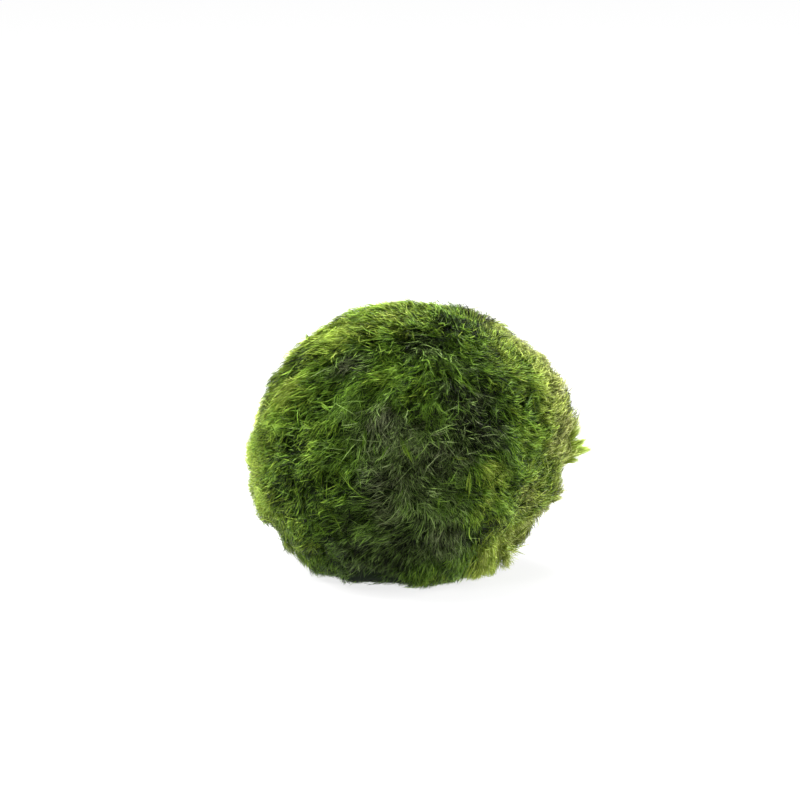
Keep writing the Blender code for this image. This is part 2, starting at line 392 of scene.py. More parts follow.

# The marks: dark hollows between the locks and bright raised tufts. What they add to shade is
# partly painted shade in the hollows and painted light on the raised tufts, besides the moss's
# own tone. Each has a place, its reach in degrees, how far it stands out in metres, and what it
# adds to shade and hue.
MARKS = (
    (-40, 26, 3, -0.0008, -0.02, 0.0), (-36, 40, 4, -0.0003, 0.0, -0.25),
    (-35, 53, 3, -0.0003, -0.14, 0.0), (-25, 48, 3, -0.0004, -0.14, 0.0),
    (-1, 53, 4, -0.0005, -0.06, -0.1), (14, 48, 3, -0.0006, -0.20, 0.0),
    (55, 69, 5, -0.0004, -0.25, 0.0), (-6, 31, 3, -0.0005, -0.12, -0.1),
    (15, 36, 3, -0.0006, -0.20, 0.0), (31, 32, 4, -0.0005, -0.17, 0.0),
    (32, 21, 4, -0.0004, -0.14, 0.0), (7, 22, 3, -0.0005, 0.0, 0.0),
    (-3, 17, 3, -0.0005, -0.38, -0.1), (14, 16, 3, -0.0005, -0.17, 0.0),
    (27, 14, 4, -0.0004, -0.38, 0.0), (29, 6, 3, -0.0003, -0.08, 0.0),
    (-25, 8, 4, 0.0, 0.14, 0.0), (-30, -4, 3, -0.0005, -0.20, 0.0),
    (-21, -5, 5, -0.0004, -0.34, 0.0), (-41, -14, 4, -0.0005, -0.38, 0.0),
    (-41, -27, 4, -0.0003, -0.17, 0.0), (-25, -28, 5, -0.0003, -0.20, 0.0),
    (-13, -33, 5, -0.0003, -0.14, 0.05), (0, -28, 4, -0.0003, -0.14, 0.0),
    (20, -14, 4, -0.0004, -0.28, 0.0), (32, -27, 5, -0.0005, -0.46, 0.0),
    (58, 5, 3, -0.0003, -0.14, 0.0), (70, -26, 3, -0.0003, -0.14, 0.0),
    (66, 12, 3, -0.0003, -0.14, 0.0), (-22, -49, 6, -0.0003, -0.12, 0.0),
    (-11, -9, 5, 0.0, 0.10, -0.05), (-12, 20, 5, 0.0, 0.08, -0.3),
    (-54, 14, 5, 0.0004, 0.18, -0.05), (-27, 27, 3, 0.0003, 0.14, 0.0),
    (-29, 21, 3, 0.0003, 0.17, 0.0), (-20, 58, 3, 0.0003, 0.17, 0.1),
    (-16, 39, 5, 0.0002, 0.24, 0.0), (22, 44, 3, 0.0004, 0.20, -0.05),
    (44, 41, 4, 0.0003, 0.10, 0.0), (4, 25, 4, 0.0005, 0.34, 0.0),
    (10, 20, 3, 0.0003, 0.14, 0.0), (0, 10, 3, 0.0004, 0.17, 0.0),
    (-29, 3, 5, 0.0004, 0.32, 0.0), (-37, 1, 4, 0.0003, 0.10, 0.1),
    (28, 1, 5, 0.0002, 0.26, 0.15), (8, -10, 3, 0.0004, 0.08, 0.0),
    (36, -16, 4, 0.0004, 0.10, 0.0), (22, -39, 4, 0.0003, 0.17, 0.1),
    (43, -44, 4, 0.0003, 0.20, 0.15), (2, -45, 7, 0.0002, 0.20, 0.1),
    (43, 10, 3, 0.0003, 0.17, 0.0), (53, 15, 3, 0.0003, 0.17, 0.0),
    (35, 51, 5, 0.0003, 0.32, 0.0), (-32, -50, 14, -0.0006, -0.05, 0.0),
    (-97, 36, 8, 0.0008, -0.10, 0.0), (76, -54, 6, 0.0026, 0.07, 0.0),
    (48, -52, 9, 0.0015, 0.07, 0.0), (81, -41, 4, -0.0018, 0.0, 0.0),
    (20, -50, 9, 0.0006, 0.0, 0.0), (78, -48, 4, 0.0008, 0.0, 0.0),
    (-135, 74, 9, 0.0007, 0.0, 0.0), (112, 69, 8, 0.0005, -0.40, 0.0),
    (-81, -41, 8, 0.0009, 0.0, 0.0), (-68, -62, 6, -0.0008, 0.0, 0.0),
    (84, -29, 4, 0.0007, 0.0, 0.0),
    (79, -20, 5, 0.0008, 0.07, 0.0), (-67, -18, 5, -0.0004, 0.14, 0.0),
    (102, 52, 9, -0.0011, 0.0, 0.0), (36, 62, 6, 0.0005, -0.08, 0.0),
    (-61, 68, 6, 0.0, 0.20, 0.0), (-14, 32, 4, 0.0, 0.20, 0.0), (-16, 1, 4, -0.0003, -0.24, 0.0),
    (-10, 10, 4, 0.0, -0.10, 0.0), (-47, -2, 5, -0.0003, -0.22, 0.0),
    (-42, 8, 4, -0.0002, -0.54, 0.0), (64, 32, 6, 0.0, 0.20, 0.0),
    (83, 15, 5, 0.0, -0.42, 0.0), (-5, 1, 5, 0.0, 0.16, 0.0), (20, 24, 4, -0.0003, -0.12, 0.0),
)

# The habits: a place, its reach in degrees, how long the filaments are there in metres, in
# degrees how far they stand up and how untidy they are, and how far in metres their tips
# stand over the ball
HABITS = (
    (-11, 69, 18, 0.0020, 20, 34, 0.0002), (-45, 42, 18, 0.0029, 18, 12, 0.0003),
    (-72, 0, 16, 0.0023, 36, 14, 0.0001), (5, 8, 14, 0.0024, 26, 42, 0.0),
    (-35, 0, 14, 0.0026, 26, 36, 0.0), (0, 42, 14, 0.0034, 22, 16, 0.0),
    (40, 60, 13, 0.0022, 24, 34, 0.0005), (35, 36, 13, 0.0026, 32, 36, 0.0002),
    (75, 32, 16, 0.0020, 40, 34, 0.0004), (66, 8, 14, 0.0018, 50, 34, 0.0006),
    (82, 14, 9, 0.0022, 40, 18, 0.0012), (55, -20, 16, 0.0018, 46, 38, 0.0004),
    (65, -42, 10, 0.0020, 42, 30, 0.0003), (-10, -28, 18, 0.0040, 14, 10, 0.0),
    (22, -34, 12, 0.0038, 26, 12, 0.0), (-50, -25, 14, 0.0028, 28, 16, 0.0001),
    (-112, 58, 16, 0.0016, 26, 40, 0.0), (-96, 18, 13, 0.0022, 36, 18, 0.0001),
    (120, 20, 20, 0.0026, 36, 24, 0.0), (180, 10, 24, 0.0034, 22, 16, 0.0),
    (-130, 0, 20, 0.0030, 26, 16, 0.0),
)
USUAL_HABIT = (0.0036, 24, 16, 0.0)
# How much the usual values count beside those of a table's places
USUAL_WEIGHT = 0.35


def degrees_away(directions, places):
    """How far each direction is from each place, in degrees."""
    return np.degrees(np.arccos(np.clip(directions @ places.T, -1, 1)))


def weights_at(directions, table):
    """How much each row of a table counts at these directions, by its place and reach."""
    away = degrees_away(directions, directions_at(table[:, 0], table[:, 1]))
    return np.exp(-((away / table[:, 2]) ** 2))


def blended(directions, table, usual):
    """The values of a table's places, blended over the ball, with the usual ones between."""
    table = np.array(table, float)
    weight = weights_at(directions, table)
    total = weight @ table[:, 3:] + np.array(usual) * USUAL_WEIGHT
    return (total / (weight.sum(1, keepdims=True) + USUAL_WEIGHT)).T


def marked(directions):
    """What the marks add to the height, the shade and the hue at these places."""
    table = np.array(MARKS, float)
    return (weights_at(directions, table) @ table[:, 3:]).T


stroke_table = np.array(STROKES, float)
STROKE_PLACES = directions_at(stroke_table[:, 0], stroke_table[:, 1])
stroke_right, stroke_crownward = frames_at(STROKE_PLACES)
stroke_turn = np.radians(stroke_table[:, 2:])
STROKE_LEANS = stroke_right * np.cos(stroke_turn) + stroke_crownward * np.sin(stroke_turn)


def lay_of(directions):
    """The unit vectors along which the filaments lie at these places."""
    away = degrees_away(directions, STROKE_PLACES)
    weight = np.exp(-((away / COMB_REACH) ** 2))
    weight += FAR_WEIGHT * np.exp(-((away / FAR_REACH) ** 2))
    total = weight @ STROKE_LEANS
    return unit(total - directions * (total * directions).sum(1, keepdims=True))


def turned(vectors, out, angle):
    """The vectors turned about out, which they are square to, by an angle in radians."""
    cosine, sine = np.cos(angle)[:, None], np.sin(angle)[:, None]
    return vectors * cosine + np.cross(out, vectors) * sine


# The ball's mean radius, which turns metres along its surface into directions
RADIUS = 0.024
# The roots' places: each is a golden angle round from the last, scattered by this share of the
# distance between them
GOLDEN_ANGLE = 180 * (3 - math.sqrt(5))
ROOT_SCATTER = 0.4
# A tuft's guide: its steps and their length, how far before the root it starts, and how much it
# curls at each step, in degrees, from the step near the root at which it follows the comb
GUIDE_STEPS = 12
GUIDE_STRIDE = 0.0006
GUIDE_BEFORE = 0.0015
CURL = 5
CURL_START = 2


def spread_directions(chance, count):
    """Directions spread evenly over the ball, each a little off its place."""
    number = np.arange(count) + 0.5
    even = directions_at(number * GOLDEN_ANGLE, np.degrees(np.arcsin(1 - 2 * number / count)))
    return unit(even + chance.normal(0, ROOT_SCATTER / math.sqrt(count), even.shape))


def tuft_guides(chance, roots, turn):
    """The line that each tuft follows: directions from a little before its root onwards,
    turned from the lay by an angle in degrees."""
    offset = np.radians(turn)
    curl = np.radians(chance.normal(0, CURL, len(roots)))
    line = [unit(roots - lay_of(roots) * GUIDE_BEFORE / RADIUS)]
    for step in range(GUIDE_STEPS):
        place = line[-1]
        lay = turned(lay_of(place), place, offset + curl * (step - CURL_START))
        line.append(unit(place + lay * GUIDE_STRIDE / RADIUS))
    return np.stack(line, 1)


# A filament's three corners, the first turned outwards, and how much their hues differ
CORNER_TURNS = (270, 30, 150)
SIDE_HUE = 0.006
TINT_LIMITS = (0.01, 0.99)
# The keel of the thinnest filaments, in half widths, and a slant that keeps their sides defined
KEEL_DEPTH = 0.7
SLANT = (0.01, 0.02, 0.0)


def strand_arrays(lines, half_width, shade, hue):
    """Points, triangles and tints of closed filaments. Each follows its line of points, from
    its root, a point, by rings of three to its tip, a point again."""
    count, nodes, _ = lines.shape
    rings = nodes - 2
    along = unit(np.gradient(lines, axis=1))[:, 1:-1]
    aside = unit(np.cross(along, unit(lines[:, 1:-1] - CENTRE) + SLANT))
    inward = np.cross(along, aside)
    reach = half_width[:, None, None]
    corners = []
    for turn in np.radians(CORNER_TURNS):
        corners.append(lines[:, 1:-1] + (aside * np.cos(turn) + inward * np.sin(turn)) * reach)
    ring_points = np.stack(corners, 2).reshape(count, rings * 3, 3)
    points = np.concatenate((lines[:, :1], ring_points, lines[:, -1:]), 1)
    root, tip = 0, rings * 3 + 1
    pattern = []
    for side in range(3):
        near, following = 1 + side, 1 + (side + 1) % 3
        pattern.append((root, following, near))
        for ring in range(0, 3 * (rings - 1), 3):
            pattern.append((near + ring, following + ring, following + ring + 3))
            pattern.append((near + ring, following + ring + 3, near + ring + 3))
        pattern.append((near + 3 * rings - 3, following + 3 * rings - 3, tip))
    first = np.arange(count)[:, None, None] * points.shape[1]
    triangles = (first + np.array(pattern)).reshape(-1, 3)
    ring_shade = np.repeat(shade[:, 1:-1], 3, 1)
    point_shade = np.concatenate((shade[:, :1], ring_shade, shade[:, -1:]), 1)
    side_hue = np.concatenate(((0,), np.tile((-1, 0, 1), rings), (0,))) * SIDE_HUE
    tints = np.stack((point_shade, hue[:, None] + side_hue), -1).reshape(-1, 2)
    return points.reshape(-1, 3), triangles, np.clip(tints, *TINT_LIMITS)


def sliver_arrays(lines, half_width, shade, hue, roll):
    """Points, triangles and tints of the thinnest filaments: closed slivers of four triangles,
    whose ridge runs from root to tip and whose keel lies under the middle."""
    root, middle, tip = lines[:, 0], lines[:, 1], lines[:, 2]
    along = unit(tip - root)
    aside = unit(np.cross(along, unit(middle - CENTRE) + SLANT))
    aside = turned(aside, along, roll)
    keel = (root + tip) / 2 - np.cross(aside, along) * (half_width * KEEL_DEPTH)[:, None]
    reach = aside * half_width[:, None]
    points = np.stack((root, keel + reach, keel - reach, tip), 1)
    pattern = ((0, 2, 1), (3, 1, 2), (0, 3, 2), (0, 1, 3))
    first = np.arange(len(lines))[:, None, None] * 4
    triangles = (first + np.array(pattern)).reshape(-1, 3)
    point_shade = shade[:, (0, 1, 1, 2)]
    side_hue = np.array((0, -1, 1, 0)) * SIDE_HUE
    tints = np.stack((point_shade, hue[:, None] + side_hue), -1).reshape(-1, 2)
    return points.reshape(-1, 3), triangles, np.clip(tints, *TINT_LIMITS)


def joined(parts):
    """Several (points, triangles, tints) made one."""
    points, triangles, tints, first = [], [], [], 0
    for part_points, part_triangles, part_tints in parts:
        points.append(part_points)
        triangles.append(part_triangles + first)
        tints.append(part_tints)
        first += len(part_points)
    return np.concatenate(points), np.concatenate(triangles), np.concatenate(tints)


def add_piece(name, arrays, material):
    """The arrays as one mesh piece that moves with the ball, its tints in a UV map."""
    points, triangles, tints = arrays
    mesh = bpy.data.meshes.new(name)
    mesh.vertices.add(len(points))
    mesh.vertices.foreach_set("co", points.astype(np.float32).ravel())
    mesh.loops.add(triangles.size)
    mesh.loops.foreach_set("vertex_index", triangles.astype(np.int32).ravel())
    mesh.polygons.add(len(triangles))
    mesh.polygons.foreach_set("loop_start", np.arange(0, triangles.size, 3, dtype=np.int32))
    mesh.update(calc_edges=True)
    tint_map = mesh.uv_layers.new(name="OFBake")
    tint_map.uv.foreach_set("vector", tints[triangles.ravel()].astype(np.float32).ravel())
    mesh.materials.append(material)
    piece = bpy.data.objects.new(name, mesh)
    bpy.context.scene.collection.objects.link(piece)
    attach(piece, "root")


# The coats. The filaments cover the ball in four of them, from the deepest out: an undercoat,
# painted dark as painted shade deep in the coat, straight filaments, curved ones and single
# strays. In each they grow in tufts, and the filaments of a tuft follow its guide and close up
# or fan out at their tips.

# For each coat: its tufts and filaments, the points and half width of one, its length as a
# share of the usual, how far the roots of a tuft spread, how much its tips close up (1) or fan
# out (below 0), how untidy it is as a share of the usual, how deep it starts, how far its tips
# stand over the ball, what is added to its shade and hue, and how much the shade differs from
# one filament to the next
COATS = (
    {"tufts": 4000, "filaments": 24000, "nodes": 3, "half_width": 0.000120, "length": 0.80,
     "spread": 0.0008, "close": (0.0, 0.3), "untidy": 3.5, "deep": 0.0014, "proud": -0.0007,
     "shade": -0.22, "hue": -0.06, "contrast": 0.12},
    {"tufts": 8000, "filaments": 165000, "nodes": 3, "half_width": 0.000054, "length": 0.68,
     "spread": 0.0003, "close": (-0.2, 0.8), "untidy": 1.0, "deep": 0.0010, "proud": 0.0001,
     "shade": 0.0, "hue": 0.0, "contrast": 0.50},
    {"tufts": 2600, "filaments": 12000, "nodes": 4, "half_width": 0.000056, "length": 0.90,
     "spread": 0.0003, "close": (-0.8, 0.6), "untidy": 1.2, "deep": 0.0009, "proud": 0.0003,
     "shade": 0.05, "hue": 0.01, "contrast": 0.36},
    {"tufts": 3000, "filaments": 3000, "nodes": 4, "half_width": 0.000050, "length": 0.80,
     "spread": 0.0003, "close": (0.0, 0.1), "untidy": 2.2, "deep": 0.0004, "proud": 0.0004,
     "shade": 0.11, "hue": 0.02, "contrast": 0.42},
)

# A tuft has the tint and the marks of the place where its filaments are seen, this share of
# their length ahead of its root
SEEN_SHARE = 0.6
# A place counts as no darker and no brighter than these shades. Past the khaki hue, its
# filaments differ as much as those of a darker place.
SHADE_LIMITS = (0.35, 0.9)
KHAKI_HUE = 0.62
KHAKI_VARIETY = 0.9
# Tufts and filaments are more alike on the underside and on the crown: how much of their
# variety is left, by the height of a direction from straight down (-1) to straight up (1)
VARIETY_HEIGHTS = (-0.6, -0.3, 0.8, 0.95)
VARIETY_SHARES = (0.82, 1.0, 1.0, 0.7)
# What there is more of in the dark: its amount at shade 0, and how much less it is at shade 1
FILAMENT_VARIETY = (1.55, 1.42)
TUFT_VARIETY = (1.50, 1.25)
PATCH_SHADE = (0.15, 0.10)
RIDGE_PAINTED_SHADE = (0.24, 0.14)
LOCK_PAINTED_SHADE = (0.11, 0.07)
COAT_DEPTH_SHADE = (1.30, 0.80)
# A ridge is painted brighter than a hollow, painted light on the ridges and painted shade in
# the hollows: how far round it the ball is evened out, in degrees, and how high over that it
# stands, in metres, where it is brightest
RIDGE_SPREAD = 5
RIDGE_HEIGHT = 0.001
# Random patches: their size in metres, where in the noise they are read, and their strength.
# The noise is stretched to reach from about -1 to 1, and a lock stands out by its height. A
# raised lock is painted brighter and a low one darker, painted light and shade.
SHADE_PATCHES = (0.0024, 0, 1.0)
HUE_PATCHES = (0.0026, 20, 0.07)
SWIRL_PATCHES = (0.0032, 40, 1.3)
LOCK_PATCHES = (0.0036, 60, 1.0)
SMALL_LOCK_PATCHES = (0.0018, 80, 0.6)
NOISE_STRETCH = 1.8
LOCK_HEIGHT = 0.0003
# How one tuft differs from the next: in hue, shade, swirl, length, lift in degrees, and how far
# it stands out in metres
HUE_SPREAD = 0.03
SHADE_SPREAD = 0.07
SWIRL_SPREAD = 0.4
TUFT_LENGTH_SHARES = (0.7, 1.3)
LIFT_SPREAD = 10
LIFT_LIMITS = (5, 75)
PROUD_SPREAD = 0.00025
# Below this height in metres the tufts stand out less. Where a direction points down more
# steeply than this (straight down is -1), only this share of the filaments grows, because the
# ball rests there.
FOOT_HEIGHT = 0.008
UNDERSIDE_BELOW = -0.8
UNDERSIDE_SHARE = 0.45


def patchy(places, size, offset, strength):
    """A smooth random value for each place, which changes over this size."""
    values = []
    for place in places:
        values.append(noise.noise(Vector(place) * (RADIUS / size) + Vector((offset, 0, 0))))
    return np.array(values) * NOISE_STRETCH * strength


def fading(amount, bright):
    """An amount that is less where the ball is brighter."""
    in_the_dark, loss = amount
    return in_the_dark - loss * bright


def grow_tufts(chance, coat):
    """The tufts of a coat: the guide and the share of the filaments of each, and its habits."""
    count = coat["tufts"]
    roots = spread_directions(chance, count)
    length, lift, untidy, proud = blended(roots, HABITS, USUAL_HABIT)
    ahead = SEEN_SHARE * coat["length"] * length * np.cos(np.radians(lift))
    seen = unit(roots + lay_of(roots) * (ahead / RADIUS)[:, None])
    # The tints paint light on the rims and the crown and shade on the front, besides the moss's
    # own tone
    shade, hue = blended(seen, PAINTED_LIGHT_AND_TINTS, USUAL_TINT)
    # The marks add painted shade in the hollows and painted light on the raised tufts
    mark_height, mark_shade, mark_hue = marked(seen)

    bright = np.clip(shade + mark_shade, *SHADE_LIMITS)
    khaki = np.clip(hue - KHAKI_HUE, 0, 1)
    calm = np.clip(bright - KHAKI_VARIETY * khaki, *SHADE_LIMITS)
    variety_here = np.interp(roots[:, 2], VARIETY_HEIGHTS, VARIETY_SHARES)
    filament_variety = fading(FILAMENT_VARIETY, calm) * variety_here
    tuft_variety = fading(TUFT_VARIETY, bright) * variety_here

    hue = hue + patchy(roots, *HUE_PATCHES) + chance.normal(0, HUE_SPREAD, count)
    hue = hue + coat["hue"] + mark_hue
    locks = patchy(roots, *LOCK_PATCHES) + patchy(roots, *SMALL_LOCK_PATCHES)
    standing_out = reach_at(roots) - soft_reach_at(roots, RIDGE_SPREAD)
    ridge = np.clip(standing_out / RIDGE_HEIGHT, -1, 1)
    shade = shade + patchy(roots, *SHADE_PATCHES) * fading(PATCH_SHADE, bright)
    # Painted light on the ridges and painted shade in the hollows
    shade = shade + ridge * fading(RIDGE_PAINTED_SHADE, bright)
    # Painted light on the raised locks and painted shade on the low ones
    shade = shade + locks * fading(LOCK_PAINTED_SHADE, bright)
    shade = shade + chance.normal(0, SHADE_SPREAD, count) * tuft_variety
    # The undercoat is painted darker, a painted shade deep in the coat, and the outer coats a
    # little lighter
    shade = shade + mark_shade + coat["shade"] * fading(COAT_DEPTH_SHADE, bright)

    swirl = patchy(roots, *SWIRL_PATCHES) + chance.normal(0, SWIRL_SPREAD, count)
    guides = tuft_guides(chance, roots, untidy * coat["untidy"] * swirl)
    length = length * chance.uniform(*TUFT_LENGTH_SHARES, count) * coat["length"]
    lift = np.clip(lift + chance.normal(0, LIFT_SPREAD, count) * tuft_variety, *LIFT_LIMITS)
    proud = coat["proud"] + proud + chance.normal(0, PROUD_SPREAD, count) * tuft_variety
    root_height = CENTRE[2] + roots[:, 2] * reach_at(roots)
    proud *= np.where(proud > 0, np.clip(root_height / FOOT_HEIGHT, 0, 1), 1)
    proud += mark_height + locks * LOCK_HEIGHT * tuft_variety
    share = np.where(roots[:, 2] < UNDERSIDE_BELOW, UNDERSIDE_SHARE, 1.0)
    habits = {
        "length": length, "lift": lift, "untidy": untidy * coat["untidy"], "proud": proud,
        "shade": shade, "hue": hue, "bright": bright, "variety": filament_variety,
    }
    return guides, share / share.sum(), habits


# How one filament differs from the next: its length and lift as shares of its tuft's, where it
# starts as a share of the tuft's spread, how it turns in degrees, alone and with its tuft's
# untidiness, how it bends and stands out, its hue and its half width
LENGTH_SHARES = (0.6, 1.2)
LIFT_SHARES = (0.7, 1.3)
START_SPREAD = 1.2
OWN_TURN = 11.0
OWN_TURN_SHARE = 0.6
TURN_LIMITS = (-70, 70)
OWN_SWAY = 0.10
OWN_PROUD_SPREAD = 0.0002
OWN_HUE_SPREAD = 0.045
WIDTH_SHARES = (0.75, 1.25)
# How a filament rises over the ball. The ball is evened out over this spread in degrees, and
# this share of the even form counts. The filament rises at least by this share of its coat's
# depth, steeply at first, sags at most by this share of a stride, and stays clear of the floor
# by this many half widths.
SURFACE_SPREAD = 2
SURFACE_SHARE = 0.5
LEAST_RISE = 0.6
RISE_POWER = 0.75
SAG = 0.3
FLOOR_CLEARANCE = 1.5
# Each filament is painted darker towards its root, a painted shade where the coat covers it: a
# root's shade as a share of its tip's, in the dark and more where it is bright, and how soon
# the shade of the tip is reached
SHADED_ROOT_SHARE = 0.08
SHADED_ROOT_BRIGHT_SHARE = 0.72
ROOT_SHADE_POWER = 0.8


def comb_lines(chance, coat, guides, tuft, own):
    """The lines of a coat's filaments: each follows the guide of its tuft in its own way."""
    count, nodes = coat["filaments"], coat["nodes"]
    length = own["length"] * chance.uniform(*LENGTH_SHARES, count)
    lift = np.radians(own["lift"] * chance.uniform(*LIFT_SHARES, count))
    start = GUIDE_BEFORE + chance.normal(0, START_SPREAD, count) * coat["spread"]
    start = np.clip(start, 0, None)
    off_side = chance.normal(0, 1, count) * coat["spread"]
    close = chance.uniform(*coat["close"], count)
    turn = chance.normal(0, 1, count) * (OWN_TURN + OWN_TURN_SHARE * own["untidy"])
    turn = np.tan(np.radians(np.clip(turn, *TURN_LIMITS)))
    along = np.linspace(0, 1, nodes)
    sway = chance.normal(0, OWN_SWAY, (count, 1)) * length[:, None] * np.sin(along * math.pi)

    level = (length * np.cos(lift))[:, None] * along
    step = np.clip((start[:, None] + level) / GUIDE_STRIDE, 0, GUIDE_STEPS - EDGE)
    before = step.astype(int)
    between = (step - before)[..., None]
    here, following = guides[tuft[:, None], before], guides[tuft[:, None], before + 1]
    line = here * (1 - between) + following * between
    aside = unit(np.cross(line, following - here))
    side_place = off_side[:, None] * (1 - close[:, None] * along)
    side_place = side_place + turn[:, None] * level + sway
    line = unit(line + aside * (side_place / RADIUS)[..., None])

    top = own["proud"] + chance.normal(0, OWN_PROUD_SPREAD, count)
    rise = np.maximum(length * np.sin(lift), coat["deep"] * LEAST_RISE)
    height = top[:, None] - rise[:, None] * (1 - along**RISE_POWER)
    surface = reach_at(line) * (1 - SURFACE_SHARE)
    surface = surface + soft_reach_at(line, SURFACE_SPREAD) * SURFACE_SHARE
    reach = surface + height
    stride = length / (nodes - 1)
    for node in range(1, nodes):
        reach[:, node] = np.maximum(reach[:, node], reach[:, node - 1] - stride * SAG)
    lines = CENTRE + line * reach[..., None]
    lines[..., 2] = np.maximum(lines[..., 2], coat["half_width"] * FLOOR_CLEARANCE)
    return lines


def comb_coat(chance, coat):
    """A coat over the whole ball: its filaments' lines, half widths, shades and hues."""
    guides, share, habits = grow_tufts(chance, coat)
    count = coat["filaments"]
    tuft = chance.choice(coat["tufts"], count, p=share)
    own = {name: values[tuft] for name, values in habits.items()}
    lines = comb_lines(chance, coat, guides, tuft, own)
    shade = own["shade"] + chance.normal(0, coat["contrast"], count) * own["variety"]
    hue = own["hue"] + chance.normal(0, OWN_HUE_SPREAD, count)
    # The root of each filament is painted darker than its tip: painted shade
    shaded_root_share = SHADED_ROOT_SHARE + SHADED_ROOT_BRIGHT_SHARE * own["bright"][:, None]
    along = np.linspace(0, 1, coat["nodes"])
    shades = shade[:, None] * (shaded_root_share + (1 - shaded_root_share) * along**ROOT_SHADE_POWER)
    widths = coat["half_width"] * chance.uniform(*WIDTH_SHARES, count)
    return lines, widths, shades, hue


# A filament's colour by its hue, where its shade is dark and where it is bright. The bright
# colours are paler: a painted wet sheen.
DARK_COLOURS = (
    (0.02, (0.33, 0.39, 0.165)),
    (0.38, (0.21, 0.53, 0.015)),
    (0.62, (0.45, 0.69, 0.030)),
    (0.98, (0.62, 0.63, 0.150)),
)
PALE_SHEEN_COLOURS = (
    (0.02, (0.45, 0.52, 0.270)),
    (0.38, (0.36, 0.66, 0.070)),
    (0.62, (0.65, 0.83, 0.120)),
    (0.98, (0.82, 0.78, 0.350)),
)
# How the shade brings in the pale colour of the painted sheen, and how it becomes brightness
SHEEN_GAIN = 1.5
SHEEN_START = 0.25
BRIGHTNESS_POWER = 1.5
BRIGHTNESS_GAIN = 0.965
LEAST_BRIGHTNESS = 0.01

filament_material, filament_shader, filament_finish = new_material(
    "moss_filament", roughness=0.32, gloss=0.10
)
tint = filament_finish.node("ShaderNodeUVMap", {"uv_map": "OFBake"}, {})
tint_shade = filament_finish.node("ShaderNodeSeparateXYZ", {}, {"Vector": tint}, "X")
tint_hue = filament_finish.node("ShaderNodeSeparateXYZ", {}, {"Vector": tint}, "Y")
dark_colour, pale_sheen_colour = (
    filament_finish.node("ShaderNodeValToRGB", {"stops": stops}, {"Fac": tint_hue})
    for stops in (DARK_COLOURS, PALE_SHEEN_COLOURS)
)
# A colour Mix node has its factor and colours at sockets 0, 6 and 7, and its colour at output 2
# Bright filaments turn pale: a painted wet sheen
own_colour = filament_finish.node(
    "ShaderNodeMix",
    {"data_type": "RGBA", "clamp_factor": True},
    {0: tint_shade * SHEEN_GAIN - SHEEN_START, 6: dark_colour, 7: pale_sheen_colour},
    2,
)
brightness = tint_shade**BRIGHTNESS_POWER * BRIGHTNESS_GAIN + LEAST_BRIGHTNESS
feed(
    filament_shader,
    "Base Color",
    filament_finish.node(
        "ShaderNodeVectorMath",
        {"operation": "SCALE"},
        {"Vector": own_colour, "Scale": brightness},
    ),
)

# The coats are cut into six pieces by the side of the ball on which the filaments have their
# roots. A thin filament is rolled a little, up to this angle, so that some catch the light.
SECTORS = {
    "filaments_right": (1, 0, 0),
    "filaments_left": (-1, 0, 0),
    "filaments_back": (0, 1, 0),
    "filaments_front": (0, -1, 0),
    "filaments_crown": (0, 0, 1),
    "filaments_underside": (0, 0, -1),
}
ROLL = math.radians(40)
chance = np.random.default_rng(20)
coats = [comb_coat(chance, coat) for coat in COATS]
facings = np.array(list(SECTORS.values()))
for number, sector in enumerate(SECTORS):
    parts = []
    for lines, widths, shades, hues in coats:
        chosen = np.argmax(unit(lines[:, 0] - CENTRE) @ facings.T, 1) == number
        chosen_arrays = (lines[chosen], widths[chosen], shades[chosen], hues[chosen])
        if lines.shape[1] == 3:
            roll = chance.uniform(-ROLL, ROLL, chosen.sum())
            parts.append(sliver_arrays(*chosen_arrays, roll))
        else:
            parts.append(strand_arrays(*chosen_arrays))
    add_piece(sector, joined(parts), filament_material)


# The standing tufts. Here and there a few dozen filaments hold together at their tips and
# stand out of the coat, most of all at the right side, on the crown and on the left. Most are
# painted pale: painted light, for the light they catch.

